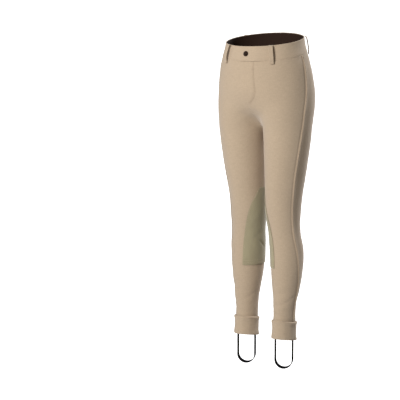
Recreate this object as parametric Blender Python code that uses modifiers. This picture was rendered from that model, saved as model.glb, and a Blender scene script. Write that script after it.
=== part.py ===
"""Riding breeches in stretch cloth, filled out as worn, for Blender 4.5.

Metres, +Z up. The wearer faces -Y and the wearer's left is +X. The origin is the centre of the
waistband, half way down it, where the wearer's waist holds the breeches up.

Each half of the body is a soft tube round one leg, from the waist to the hem. Where the two tubes
meet they are blended, which gives the trunk, the crotch curve and the cleft of the seat. Every
piece of cloth is a grid of points on that form: an angle round the leg (0 at the front, 90 at the
outer side, 180 at the back) on a level, which is a plane that tilts with the waist or the hem.
"""

import bpy
import bmesh
import math
from mathutils import Vector

# ---------------------------------------------------------------- sizes

MM = 0.001

CLOTH = 1.6 * MM
SEAM_GAP = 0.3 * MM
LYING_GAP = 1.0 * MM

BAND_TOP = 24 * MM
BAND_BOTTOM = -20 * MM
BAND_THICK = 2.0 * MM
BAND_PROUD = 0.5 * MM
BAND_STEPS = 68
FACING_THICK = 1.0 * MM
FACING_INSET = 1.0 * MM
FACING_END = 0.14
FACING_STEPS = 52
LAP = 0.06
LAP_FADE = 0.20

HEM = -890 * MM
CUFF_COLUMNS = 32
NEAR_CROTCH = (0.020, 0.010, 0.0035, 0.0, -0.004, -0.012, -0.026)
INNER_LEG_START = 0.048
THIGH_ROWS = 13
SHIN_GAP = 0.025
SHIN_ROWS = 10

FRONT_COLUMNS = 16
FRONT_ABOVE_CROTCH = 0.032
FRONT_TOP_ROWS = 7

BACK_COLUMNS = 12
BACK_CENTRE_LEVELS = (BAND_BOTTOM, -0.040, -0.059)
HIP_BOTTOM = -0.191
HIP_ROWS = 10
SIDE_TOP = -0.208

SEAT_COLUMNS = 7
SEAT_TOP = -0.0795
SEAT_ABOVE_CROTCH = 0.036
SEAT_TOP_ROWS = 5
SEAT_FIRST_STEP = 0.004
SEAT_END = -0.606
POINT_CLEARANCE = 2 * MM

BUTTON_RADIUS = 8.0 * MM
BUTTON_THICK = 2.6 * MM
BUTTON_HOLE_RADIUS = 0.9 * MM
BUTTON_HOLE_SPREAD = 2.0 * MM
BUTTON_LEVEL = 2 * MM
BUTTON_EDGE = 0.6 * MM

LOOP_WIDTH = 12.5 * MM
LOOP_THICK = 1.8 * MM

PIPING_WIDTH = 3.0 * MM
PIPING_THICK = 1.2 * MM
PIPING_TOP_GAP = 0.6 * MM
PIPING_END_GAP = 3 * MM

PATCH_THICK = 1.1 * MM
PATCH_TOP = -0.428
PATCH_BOTTOM = -0.671
PATCH_ROWS = 12
PATCH_COLUMNS = 14
PATCH_ROW_EASE = 1.4

PLACKET_BOTTOM = -0.162
PLACKET_WIDTH = 26 * MM
PLACKET_THICK = 0.9 * MM
PLACKET_ROWS = 10
PLACKET_COLUMNS = 4
PLACKET_EDGE = 0.6 * MM
PLACKET_TOP_GAP = 0.5 * MM
PLACKET_TURN_START = 0.72
PLACKET_TURN = 9.5

STRAP_WIDTH = 25 * MM
STRAP_THICK = 1.5 * MM
STRAP_SPREAD = 56 * MM
STRAP_TOP = -0.866
STRAP_BOTTOM = -0.988
STRAP_TURN = math.radians(22)
STRAP_ARC_STEPS = 12
STRAP_SIDE_STEPS = 3

# ---------------------------------------------------------------- form

FORM = (
    # height, centre_x, centre_y, half_width, half_depth, front_blend, back_blend
    (0.070, 0.0165, -0.001, 0.1000, 0.0845, 0.060, 0.050),
    (0.025, 0.0195, 0.000, 0.1030, 0.0875, 0.065, 0.050),
    (0.000, 0.0240, 0.000, 0.1040, 0.0890, 0.070, 0.055),
    (-0.040, 0.0300, 0.001, 0.1105, 0.0960, 0.080, 0.060),
    (-0.087, 0.0405, 0.0045, 0.1090, 0.1000, 0.095, 0.060),
    (-0.134, 0.0520, 0.0065, 0.1020, 0.1030, 0.100, 0.055),
    (-0.180, 0.0640, 0.0055, 0.0905, 0.0965, 0.080, 0.048),
    (-0.216, 0.0735, 0.0045, 0.0780, 0.0890, 0.040, 0.032),
    (-0.253, 0.0770, 0.0045, 0.0710, 0.0825, 0.021, 0.021),
    (-0.344, 0.0715, 0.0065, 0.0635, 0.0755, 0.016, 0.016),
    (-0.436, 0.0640, 0.0085, 0.0555, 0.0660, 0.014, 0.014),
    (-0.503, 0.0615, 0.0095, 0.0515, 0.0580, 0.012, 0.012),
    (-0.560, 0.0645, 0.0130, 0.0475, 0.0530, 0.012, 0.012),
    (-0.619, 0.0695, 0.0185, 0.0495, 0.0550, 0.012, 0.012),
    (-0.665, 0.0705, 0.0185, 0.0485, 0.0550, 0.012, 0.012),
    (-0.711, 0.0705, 0.0160, 0.0445, 0.0510, 0.012, 0.012),
    (-0.772, 0.0695, 0.0110, 0.0365, 0.0425, 0.012, 0.012),
    (-0.811, 0.0685, 0.0085, 0.0335, 0.0395, 0.012, 0.012),
    (-0.850, 0.0685, 0.0075, 0.0330, 0.0390, 0.012, 0.012),
    (-0.885, 0.0685, 0.0065, 0.0335, 0.0400, 0.012, 0.012),
    (-0.930, 0.0685, 0.0065, 0.0335, 0.0400, 0.012, 0.012),
)

TILT = (
    # level, rise of the level per metre toward the back
    (0.070, 0.195),
    (-0.020, 0.175),
    (-0.080, 0.085),
    (-0.150, 0.000),
    (-0.730, 0.000),
    (-0.830, -0.150),
    (-0.930, -0.150),
)

FOLDS = (
    # angle, level, half_angle, half_height, rise per radian, depth
    (176, -0.2340, 38, 0.022, 0.012, -4.5 * MM),
    (-52, -0.2120, 24, 0.016, -0.040, -3.0 * MM),
    (178, -0.5210, 46, 0.020, 0.010, -2.0 * MM),
    (10, -0.7480, 62, 0.016, 0.012, -1.8 * MM),
    (150, -0.7820, 70, 0.016, -0.014, -1.8 * MM),
    (20, -0.8140, 80, 0.013, 0.008, -1.6 * MM),
)

SIDE_SEAM = (
    # level, angle
    (0.024, 84),
    (-0.030, 83),
    (-0.126, 78),
    (-0.206, 70),
    (-0.296, 62),
    (-0.396, 58),
    (-0.506, 61),
    (-0.596, 65),
    (-0.666, 75),
    (-0.736, 86),
    (-0.906, 90),
)

SEAT_SEAM = (
    # step, level, share of the way from the centre back to the side seam
    (0.00, -0.0765, 0.000),
    (0.06, -0.0805, 0.118),
    (0.13, -0.0940, 0.208),
    (0.20, -0.1160, 0.285),
    (0.27, -0.1440, 0.345),
    (0.34, -0.1760, 0.375),
    (0.42, -0.2160, 0.400),
    (0.52, -0.2860, 0.463),
    (0.64, -0.3660, 0.420),
    (0.76, -0.4460, 0.362),
    (0.86, -0.5160, 0.283),
    (0.94, -0.5710, 0.149),
    (1.00, -0.6060, 0.027),
)

PATCH_EDGES = (
    # level, front edge angle, rear edge angle
    (-0.428, -76, -98),
    (-0.432, -67, -110),
    (-0.442, -59, -122),
    (-0.456, -51, -134),
    (-0.476, -39, -148),
    (-0.501, -30, -158),
    (-0.531, -23, -165),
    (-0.568, -18, -168),
    (-0.616, -15, -164),
    (-0.671, -14, -158),
)

LOOP_PATH = (
    # level, stand-off from the band
    (-0.0310, 2.6 * MM),
    (-0.0265, 2.8 * MM),
    (-0.0230, 4.6 * MM),
    (-0.0165, 6.9 * MM),
    (-0.0075, 7.8 * MM),
    (0.0030, 7.9 * MM),
    (0.0130, 7.5 * MM),
    (0.0190, 6.2 * MM),
    (0.0218, 3.8 * MM),
    (0.0224, 1.2 * MM),
)

LOOPS = (
    # name, side, share of the way from the centre front to the centre back
    ("loop_front_left", 1, 0.205),
    ("loop_front_right", -1, 0.205),
    ("loop_back_left", 1, 0.660),
    ("loop_back_right", -1, 0.660),
    ("loop_centre_back", 1, 1.000),
)

CUFF_PROFILE = (
    # level, stand-off from the leg
    (-0.8940, 0.7 * MM),
    (-0.8945, 2.0 * MM),
    (-0.8925, 3.3 * MM),
    (-0.8700, 2.8 * MM),
    (-0.8480, 3.0 * MM),
    (-0.8450, 4.4 * MM),
    (-0.8405, 5.0 * MM),
    (-0.8375, 3.6 * MM),
    (-0.8390, 1.9 * MM),
    (-0.8440, 0.7 * MM),
    (-0.8670, 0.6 * MM),
)


def curve_through(table, key, at):
    """Values of a table at one key, along a smooth curve through its rows."""
    rows = sorted(table, key=lambda row: row[key])
    at = min(max(at, rows[0][key]), rows[-1][key])
    index = 0
    while index < len(rows) - 2 and at > rows[index + 1][key]:
        index += 1
    low, high = rows[index], rows[index + 1]
    before = rows[max(index - 1, 0)]
    after = rows[min(index + 2, len(rows) - 1)]
    span = high[key] - low[key]
    share = (at - low[key]) / span
    cubed, squared = share ** 3, share ** 2
    values = []
    for column in range(len(low)):
        if column == key:
            continue
        slope_low = (high[column] - before[column]) / (high[key] - before[key]) * span
        slope_high = (after[column] - low[column]) / (after[key] - low[key]) * span
        values.append(
            (2 * cubed - 3 * squared + 1) * low[column]
            + (cubed - 2 * squared + share) * slope_low
            + (3 * squared - 2 * cubed) * high[column]
            + (cubed - squared) * slope_high
        )
    return values


def outside_tube(x, y, row):
    """Rough distance of a point outside the tube round one leg."""
    centre_x, centre_y, half_width, half_depth = row[:4]
    across, along = (x - centre_x) / half_width, (y - centre_y) / half_depth
    size = max(math.hypot(across, along), 1e-6)
    steepness = max(math.hypot(across / half_width, along / half_depth), 1e-6)
    return (size - 1) * size / steepness


def outside(x, y, z):
    """Rough distance of a point outside the whole form, negative inside it."""
    row = curve_through(FORM, 0, z)
    near, far = outside_tube(x, y, row), outside_tube(-x, y, row)
    toward_back = min(max((y - row[1]) / row[3] + 0.5, 0), 1)
    toward_back = toward_back ** 2 * (3 - 2 * toward_back)
    blend = row[4] + (row[5] - row[4]) * toward_back
    overlap = max(blend - abs(near - far), 0) / blend
    return min(near, far) - overlap ** 2 * blend / 4


def facing_way(point):
    """Direction square to the form at a point."""
    step = 0.5 * MM
    way = Vector((
        outside(point.x + step, point.y, point.z) - outside(point.x - step, point.y, point.z),
        outside(point.x, point.y + step, point.z) - outside(point.x, point.y - step, point.z),
        outside(point.x, point.y, point.z + step) - outside(point.x, point.y, point.z - step),
    ))
    return way.normalized()


def level_point(x, y, level):
    return Vector((x, y, level + curve_through(TILT, 0, level)[0] * y))


def furthest_inside(place, near, far):
    """The last value between near and far whose place is still inside the form."""
    for _ in range(30):
        middle = (near + far) / 2
        if outside(*place(middle)) < 0:
            near = middle
        else:
            far = middle
    return near


def crotch_level():
    """Level of the lowest point where the two halves are still one."""
    def place(level):
        return level_point(0, curve_through(FORM, 0, level)[1], level)
    return furthest_inside(place, -0.18, -0.35)


CROTCH = crotch_level()


def centre_angles(level):
    """Angles of the centre front and the centre back, or of the inner leg below the crotch."""
    if level <= CROTCH + 0.01 * MM:
        return -90.0, 270.0
    centre_x, centre_y = curve_through(FORM, 0, level)[:2]
    angles = []
    for way in (-1, 1):
        reach = furthest_inside(lambda y: level_point(0, centre_y + way * y, level), 0, 0.2)
        angles.append(math.degrees(math.atan2(-centre_x, -way * reach)))
    return angles[0], angles[1] % 360


def fold_depth(angle, level):
    depth = 0.0
    for fold_angle, fold_level, half_angle, half_height, rise, fold in FOLDS:
        turn = (angle - fold_angle + 180) % 360 - 180
        drop = level - fold_level - rise * math.radians(turn)
        depth += fold * math.exp(-(turn / half_angle) ** 2 - (drop / half_height) ** 2)
    return depth


def cloth_point(angle, level, lift=0.0):
    """A point of the cloth's outer face and the way it faces, lifted off it if asked."""
    centre_x, centre_y = curve_through(FORM, 0, level)[:2]
    across, along = math.sin(math.radians(angle)), -math.cos(math.radians(angle))
    limit = 0.25 if across >= 0 else min(0.25, -centre_x / across)
    reach = furthest_inside(
        lambda r: level_point(centre_x + r * across, centre_y + r * along, level), 0, limit)
    point = level_point(centre_x + reach * across, centre_y + reach * along, level)
    way = facing_way(point)
    if point.x < 0.01 * MM:
        point.x = 0.0
        way = Vector((0, way.y, way.z)).normalized()
    return point + way * (lift + fold_depth(angle, level)), way


def side_angle(level):
    return curve_through(SIDE_SEAM, 0, level)[0]


def spaced(first, last, steps):
    return [first + (last - first) * step / steps for step in range(steps + 1)]


# ---------------------------------------------------------------- meshes

def finish_object(name, mesh_data, material):
    part = bpy.data.objects.new(name, mesh_data)
    garment.objects.link(part)
    part.data.materials.append(material)
    return part


def wall_mesh(name, grid, thickness, closed=False):
    """A closed wall from a grid of outer points and the ways they face."""
    mesh = bmesh.new()
    faces = []
    for depth in (0.0, thickness):
        faces.append([[mesh.verts.new(point - way * depth) for point, way in row] for row in grid])
    outer, inner = faces
    rows, columns = len(grid), len(grid[0])
    last = columns if closed else columns - 1
    for row in range(rows - 1):
        for column in range(last):
            right = (column + 1) % columns
            mesh.faces.new((outer[row][column], outer[row + 1][column],
                            outer[row + 1][right], outer[row][right]))
            mesh.faces.new((inner[row][column], inner[row][right],
                            inner[row + 1][right], inner[row + 1][column]))
    for row, flip in ((0, False), (rows - 1, True)):
        for column in range(last):
            right = (column + 1) % columns
            rim = (outer[row][column], outer[row][right], inner[row][right], inner[row][column])
            mesh.faces.new(rim[::-1] if flip else rim)
    if not closed:
        for column, flip in ((0, True), (columns - 1, False)):
            for row in range(rows - 1):
                rim = (outer[row][column], outer[row + 1][column],
                       inner[row + 1][column], inner[row][column])
                mesh.faces.new(rim[::-1] if flip else rim)
    bmesh.ops.recalc_face_normals(mesh, faces=mesh.faces)
    data = bpy.data.meshes.new(name)
    mesh.to_mesh(data)
    mesh.free()
    return data


def mirrored(grid):
    return [[(Vector((-point.x, point.y, point.z)), Vector((-way.x, way.y, way.z)))
             for point, way in reversed(row)] for row in grid]


def trimmed(grid):
    """The grid with its edges drawn in by half a seam gap, along the cloth."""
    rows, columns = len(grid), len(grid[0])
    points = [[point.copy() for point, way in row] for row in grid]

    def draw_in(row, column, inward, before, after):
        tangent = (grid[after[0]][after[1]][0] - grid[before[0]][before[1]][0]).normalized()
        toward = grid[inward[0]][inward[1]][0] - grid[row][column][0]
        toward -= tangent * toward.dot(tangent)
        points[row][column] += toward.normalized() * SEAM_GAP / 2

    for row in range(rows):
        above, below = max(row - 1, 0), min(row + 1, rows - 1)
        for column, inward in ((0, 1), (columns - 1, columns - 2)):
            draw_in(row, column, (row, inward), (above, column), (below, column))
    for column in range(columns):
        left, right = max(column - 1, 0), min(column + 1, columns - 1)
        for row, inward in ((0, 1), (rows - 1, rows - 2)):
            draw_in(row, column, (inward, column), (row, left), (row, right))
    return [[(points[row][column], grid[row][column][1]) for column in range(columns)]
            for row in range(rows)]


def make_pair(name, grid, thickness, material):
    """The same piece for the wearer's left and right."""
    for side, own_grid in (("left", grid), ("right", mirrored(grid))):
        label = name + "_" + side
        finish_object(label, wall_mesh(label, own_grid, thickness), material)


def make_material(name, colour, roughness, metallic=0.0):
    material = bpy.data.materials.new(name)
    material.use_nodes = True
    shader = material.node_tree.nodes["Principled BSDF"]
    shader.inputs["Base Color"].default_value = (*colour, 1)
    shader.inputs["Roughness"].default_value = roughness
    shader.inputs["Metallic"].default_value = metallic
    material.diffuse_color = (*colour, 1)
    return material


# ---------------------------------------------------------------- pieces

def inner_levels():
    """Levels shared by the edges that meet at the crotch and down the inner leg."""
    near = [CROTCH + offset for offset in NEAR_CROTCH]
    thigh = spaced(CROTCH - INNER_LEG_START, SEAT_END, THIGH_ROWS)
    return near + thigh + spaced(SEAT_END - SHIN_GAP, HEM, SHIN_ROWS)


def front_levels():
    return spaced(BAND_BOTTOM, CROTCH + FRONT_ABOVE_CROTCH, FRONT_TOP_ROWS) + inner_levels()


def seat_levels():
    """Levels of the seat inset at the centre back and down the inner leg."""
    above = spaced(SEAT_TOP, CROTCH + SEAT_ABOVE_CROTCH, SEAT_TOP_ROWS)
    return above + [level for level in inner_levels() if level >= SEAT_END]


def seat_steps():
    return spaced(SEAT_FIRST_STEP, 1.0, len(seat_levels()) - 1)


def make_fronts():
    grid = []
    for level in front_levels():
        centre_front = centre_angles(level)[0]
        grid.append([cloth_point(angle, level)
                     for angle in spaced(centre_front, side_angle(level), FRONT_COLUMNS)])
    make_pair("front", trimmed(grid), CLOTH, make_material("front_cloth", (0.52, 0.42, 0.29), 0.85))


def seat_seam_point(step):
    level, share = curve_through(SEAT_SEAM, 0, step)
    centre_back = centre_angles(level)[1]
    return level, centre_back + (side_angle(level) - centre_back) * share


def make_backs():
    """Back panels, whose rear edge is the centre back, then the seat seam, then the inner leg."""
    rear_edge = [(level, centre_angles(level)[1]) for level in BACK_CENTRE_LEVELS]
    rear_edge += [seat_seam_point(step) for step in seat_steps()]
    rear_edge += [(level, 270.0) for level in inner_levels() if level <= SEAT_END]
    side_levels = spaced(BAND_BOTTOM, HIP_BOTTOM, HIP_ROWS)
    side_levels += spaced(SIDE_TOP, HEM, len(rear_edge) - HIP_ROWS - 2)
    grid = []
    for side_level, (rear_level, rear_angle) in zip(side_levels, rear_edge):
        row = []
        for share in spaced(0, 1, BACK_COLUMNS):
            level = side_level + (rear_level - side_level) * share
            start = side_angle(level)
            row.append(cloth_point(start + (rear_angle - start) * share, level))
        grid.append(row)
    make_pair("back", trimmed(grid), CLOTH, make_material("back_cloth", (0.50, 0.40, 0.28), 0.85))


def make_seats():
    """Seat insets, from the arched top at the centre back to a point behind the knee."""
    grid = []
    for centre_level, step in zip(seat_levels(), seat_steps()):
        seam_level, seam_angle = seat_seam_point(step)
        if step == 1.0:
            seam_level += POINT_CLEARANCE
            centre_level += POINT_CLEARANCE
        row = []
        for share in spaced(0, 1, SEAT_COLUMNS):
            level = seam_level + (centre_level - seam_level) * share
            centre_back = centre_angles(level)[1]
            row.append(cloth_point(seam_angle + (centre_back - seam_angle) * share, level))
        grid.append(row)
    make_pair("seat", trimmed(grid), CLOTH, make_material("seat_cloth", (0.56, 0.44, 0.33), 0.85))


def waist_point(share, level, lift=0.0):
    """A point round the waist: 0 at the centre front, 1 at the centre back, minus on the right."""
    centre_front, centre_back = centre_angles(level)
    angle = centre_front + (centre_back - centre_front) * abs(share)
    point, way = cloth_point(angle, level, lift)
    if share < 0:
        point.x, way.x = -point.x, -way.x
    return point, way


def band_grid(first, last, levels, steps, lift_at):
    """Rows of points round the waist, from a share on the left to one past the centre back."""
    grid = []
    for level in levels:
        row = []
        for way_round in spaced(first, last, steps):
            share = way_round if way_round <= 1 else way_round - 2
            row.append(waist_point(share, level, lift_at(way_round)))
        grid.append(row)
    return grid


def make_waistband():
    """One band round the waist, its left end lapped over its right end at the centre front."""
    def lift_at(way_round):
        fade = min(max((LAP_FADE - way_round) / (LAP_FADE - LAP), 0), 1)
        return BAND_PROUD + (BAND_THICK + SEAM_GAP * 2) * fade ** 2 * (3 - 2 * fade)
    levels = spaced(BAND_TOP, BAND_BOTTOM + SEAM_GAP, 2)
    grid = band_grid(-LAP, 2 + LAP, levels, BAND_STEPS, lift_at)
    material = make_material("band_cloth", (0.54, 0.44, 0.31), 0.85)
    finish_object("waistband", wall_mesh("waistband", grid, BAND_THICK), material)

    levels = spaced(BAND_TOP - FACING_INSET, BAND_BOTTOM + FACING_INSET, 2)
    depth = BAND_PROUD - BAND_THICK - LYING_GAP
    grid = band_grid(FACING_END, 2 - FACING_END, levels, FACING_STEPS, lambda way_round: depth)
    material = make_material("band_facing_cloth", (0.030, 0.016, 0.010), 0.9)
    finish_object("waistband_facing", wall_mesh("waistband_facing", grid, FACING_THICK), material)


def make_placket():
    """J-shaped fly placket on the left front, rounded in to the centre at its foot."""
    grid = []
    for share in spaced(0, 1, PLACKET_ROWS):
        level = BAND_BOTTOM - PLACKET_TOP_GAP + (PLACKET_BOTTOM - BAND_BOTTOM) * share
        width = PLACKET_WIDTH * (1 - max(share - PLACKET_TURN_START, 0) ** 2 * PLACKET_TURN)
        centre_front = centre_angles(level)[0]
        radius = curve_through(FORM, 0, level)[3]
        start = centre_front + math.degrees(PLACKET_EDGE / radius)
        end = centre_front + math.degrees(width / radius)
        grid.append([cloth_point(angle, level, LYING_GAP + PLACKET_THICK)
                     for angle in spaced(start, end, PLACKET_COLUMNS)])
    material = make_material("placket_cloth", (0.53, 0.43, 0.30), 0.85)
    finish_object("fly_placket", wall_mesh("fly_placket", grid, PLACKET_THICK), material)


def make_button():
    """Flat button with four holes, on the lapped end of the waistband."""
    lift = BAND_PROUD + BAND_THICK + SEAM_GAP * 3 + BUTTON_THICK / 2
    centre, way = waist_point(0, BUTTON_LEVEL, lift)
    turn = way.to_track_quat("Z", "Y")
    bpy.ops.mesh.primitive_cylinder_add(vertices=32, radius=BUTTON_RADIUS, depth=BUTTON_THICK)
    button = bpy.context.object
    button.name = "button"
    button.rotation_mode = "QUATERNION"
    button.rotation_quaternion = turn
    button.location = centre
    move_to(button, garment)
    edge = button.modifiers.new("rounded_edge", "BEVEL")
    edge.width = BUTTON_EDGE
    edge.segments = 1
    for across in (-1, 1):
        for along in (-1, 1):
            bpy.ops.mesh.primitive_cylinder_add(
                vertices=10, radius=BUTTON_HOLE_RADIUS, depth=BUTTON_THICK * 3)
            cutter = bpy.context.object
            cutter.name = "button_hole"
            cutter.rotation_mode = "QUATERNION"
            cutter.rotation_quaternion = turn
            offset = Vector((across, along, 0)) * BUTTON_HOLE_SPREAD
            cutter.location = centre + turn @ offset
            cutter.display_type = "WIRE"
            cutter.hide_render = True
            move_to(cutter, cutters)
            hole = button.modifiers.new("hole", "BOOLEAN")
            hole.operation = "DIFFERENCE"
            hole.solver = "EXACT"
            hole.object = cutter
    button.data.materials.append(make_material("button_plastic", (0.035, 0.018, 0.012), 0.35))


def ribbon_mesh(name, path, across, width, thickness):
    """A strip of even width along a path of points and the ways its outer face looks."""
    half = across * (width / 2)
    grid = [[(point - half, way), (point + half, way)] for point, way in path]
    return wall_mesh(name, grid, thickness)


def make_loops():
    """Belt loops: strips that stand off the waistband between two sewn ends."""
    material = make_material("loop_cloth", (0.52, 0.42, 0.29), 0.85)
    for name, side, share in LOOPS:
        anchor, out = waist_point(share * side, (BAND_TOP + BAND_BOTTOM) / 2)
        across = Vector((0, 0, 1)).cross(out).normalized()
        places = []
        for level, stand_off in LOOP_PATH:
            point, way = waist_point(share * side, level)
            places.append(point + out * (BAND_PROUD + stand_off))
        path = []
        for index, place in enumerate(places):
            before = places[max(index - 1, 0)]
            after = places[min(index + 1, len(places) - 1)]
            path.append((place, across.cross(after - before).normalized() * -1))
        finish_object(name, ribbon_mesh(name, path, across, LOOP_WIDTH, LOOP_THICK), material)


def make_piping():
    """Raised strip down each side seam, from the waistband to the cuff."""
    cuff_top = max(level for level, stand_off in CUFF_PROFILE)
    grid = []
    for level in front_levels():
        if level > cuff_top + PIPING_END_GAP:
            point, way = cloth_point(side_angle(level), level, LYING_GAP + PIPING_THICK)
            along = Vector((0, 0, 1)).cross(way).normalized() * PIPING_WIDTH / 2
            grid.append([(point - along, way), (point + along, way)])
    grid[0] = [(point - Vector((0, 0, PIPING_TOP_GAP)), way) for point, way in grid[0]]
    make_pair("side_piping", grid, PIPING_THICK,
              make_material("piping_cloth", (0.60, 0.50, 0.37), 0.8))


def make_knee_patches():
    """Suede patch over the inner half of each knee, rounded to a point at its top."""
    grid = []
    for row in range(PATCH_ROWS + 1):
        share = (row / PATCH_ROWS) ** PATCH_ROW_EASE
        level = PATCH_TOP + (PATCH_BOTTOM - PATCH_TOP) * share
        front_edge, rear_edge = curve_through(PATCH_EDGES, 0, level)
        grid.append([cloth_point(angle, level, LYING_GAP + PATCH_THICK)
                     for angle in spaced(rear_edge, front_edge, PATCH_COLUMNS)])
    make_pair("knee_patch", grid, PATCH_THICK,
              make_material("patch_suede", (0.42, 0.37, 0.26), 0.95))


def make_cuffs():
    """Turned-up cuffs, each a closed ring of cloth with a rolled upper edge."""
    material = make_material("cuff_cloth", (0.54, 0.43, 0.31), 0.85)
    for label, side in (("cuff_left", 1), ("cuff_right", -1)):
        mesh = bmesh.new()
        rings = []
        for column in range(CUFF_COLUMNS):
            angle = 360 * column / CUFF_COLUMNS
            ring = []
            for level, stand_off in CUFF_PROFILE:
                point, way = cloth_point(angle, level)
                outward = Vector((way.x, way.y, 0)).normalized()
                place = point + outward * stand_off
                ring.append(mesh.verts.new((side * place.x, place.y, place.z)))
            rings.append(ring)
        steps = len(CUFF_PROFILE)
        for column in range(CUFF_COLUMNS):
            ring, following = rings[column], rings[(column + 1) % CUFF_COLUMNS]
            for step in range(steps):
                after = (step + 1) % steps
                mesh.faces.new((ring[step], ring[after], following[after], following[step]))
        bmesh.ops.recalc_face_normals(mesh, faces=mesh.faces)
        data = bpy.data.meshes.new(label)
        mesh.to_mesh(data)
        mesh.free()
        finish_object(label, data, material)


def make_stirrups():
    """Elastic foot straps: a U of flat elastic under each cuff."""
    material = make_material("strap_elastic", (0.012, 0.012, 0.013), 0.7)
    radius = STRAP_SPREAD / 2
    span = Vector((math.cos(STRAP_TURN), math.sin(STRAP_TURN), 0))
    across = Vector((-span.y, span.x, 0))
    for name, side in (("stirrup_left", 1), ("stirrup_right", -1)):
        centre_x, centre_y = curve_through(FORM, 0, STRAP_TOP)[:2]
        centre = Vector((side * centre_x, centre_y, 0))
        arc_height = STRAP_BOTTOM + radius
        path = []
        for height in spaced(STRAP_TOP, arc_height, STRAP_SIDE_STEPS)[:-1]:
            path.append((centre - span * radius + Vector((0, 0, height)), -span))
        for turn in spaced(0, math.pi, STRAP_ARC_STEPS):
            way = -span * math.cos(turn) + Vector((0, 0, -math.sin(turn)))
            path.append((centre + way * radius + Vector((0, 0, arc_height)), way))
        for height in spaced(arc_height, STRAP_TOP, STRAP_SIDE_STEPS)[1:]:
            path.append((centre + span * radius + Vector((0, 0, height)), span))
        finish_object(name, ribbon_mesh(name, path, across, STRAP_WIDTH, STRAP_THICK), material)


# ---------------------------------------------------------------- scene

def clear_scene():
    for thing in list(bpy.data.objects):
        bpy.data.objects.remove(thing, do_unlink=True)


def new_collection(name):
    collection = bpy.data.collections.new(name)
    bpy.context.scene.collection.children.link(collection)
    return collection


def move_to(thing, collection):
    for owner in list(thing.users_collection):
        owner.objects.unlink(thing)
    collection.objects.link(thing)


clear_scene()
garment = new_collection("riding_breeches")
cutters = new_collection("cutters")

make_fronts()
make_backs()
make_seats()
make_waistband()
make_placket()
make_button()
make_loops()
make_piping()
make_knee_patches()
make_cuffs()
make_stirrups()
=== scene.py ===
"""Looks of the riding breeches: the cloth, stitching, suede and elastic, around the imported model.

Metres, +Z up. The wearer faces -Y and the wearer's left is +X. Every piece of cloth is a fine grid
of points on the same form as its solid: an angle round the leg (0 at the front, 90 at the outer
side, 180 at the back) on a level, which is a plane that tilts with the waist or the hem.
"""

import math

import bpy
import numpy as np
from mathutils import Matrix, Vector


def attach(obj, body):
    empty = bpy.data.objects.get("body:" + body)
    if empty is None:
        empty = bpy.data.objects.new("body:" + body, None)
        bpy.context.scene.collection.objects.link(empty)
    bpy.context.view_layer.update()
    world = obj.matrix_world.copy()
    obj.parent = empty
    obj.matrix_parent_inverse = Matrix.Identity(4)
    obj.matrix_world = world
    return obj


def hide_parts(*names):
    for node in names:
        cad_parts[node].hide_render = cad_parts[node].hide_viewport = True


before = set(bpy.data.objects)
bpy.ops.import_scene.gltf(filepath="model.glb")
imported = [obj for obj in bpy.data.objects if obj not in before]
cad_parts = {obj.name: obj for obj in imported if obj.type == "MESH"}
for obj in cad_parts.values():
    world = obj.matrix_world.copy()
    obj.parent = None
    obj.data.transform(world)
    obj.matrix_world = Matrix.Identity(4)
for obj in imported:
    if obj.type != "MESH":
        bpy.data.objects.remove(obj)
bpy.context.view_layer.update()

MM = 0.001
FINE = 1.0
SIDES = (("left", 1), ("right", -1))

# ---------------------------------------------------------------- sizes, as the solids have them

CLOTH = 1.6 * MM
SEAM_GAP = 0.3 * MM
HAIRLINE = 0.12 * MM
EDGE_INSET = CLOTH / 2 + HAIRLINE / 2

BAND_TOP = 24 * MM
BAND_BOTTOM = -20 * MM
BAND_THICK = 2.0 * MM
BAND_PROUD = 0.5 * MM
FACING_THICK = 1.0 * MM
LAP = 0.06
LAP_FADE = 0.20

HEM = -890 * MM
SEAT_TOP = -76.5 * MM
SEAT_POINT = -608 * MM
ROW_SPACING = 3.4 * MM
BUTTON_LEVEL = 2 * MM
BUTTON_THICK = 2.6 * MM
BUTTON_HOLE_RADIUS = 0.9 * MM
BUTTON_HOLE_SPREAD = 2.0 * MM

LOOP_WIDTH = 12.5 * MM
LOOP_THICK = 1.8 * MM
PIPING_WIDTH = 3.0 * MM
PIPING_THICK = 1.6 * MM
PIPING_LIFT = 1.75 * MM
PIPING_BOTTOM = -834.5 * MM
PATCH_TOP = -0.4292
PATCH_BOTTOM = -0.6702
PATCH_LIFT = 1.9 * MM
PATCH_THICK = 1.2 * MM
PLACKET_THICK = 0.6 * MM
PLACKET_BOTTOM = -0.162
PLACKET_WIDTH = 26 * MM

STRAP_WIDTH = 25 * MM
STRAP_THICK = 2.2 * MM
STRAP_SPREAD = 56 * MM
STRAP_TOP = -0.866
STRAP_BOTTOM = -0.988
STRAP_TURN = math.radians(22)

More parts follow.
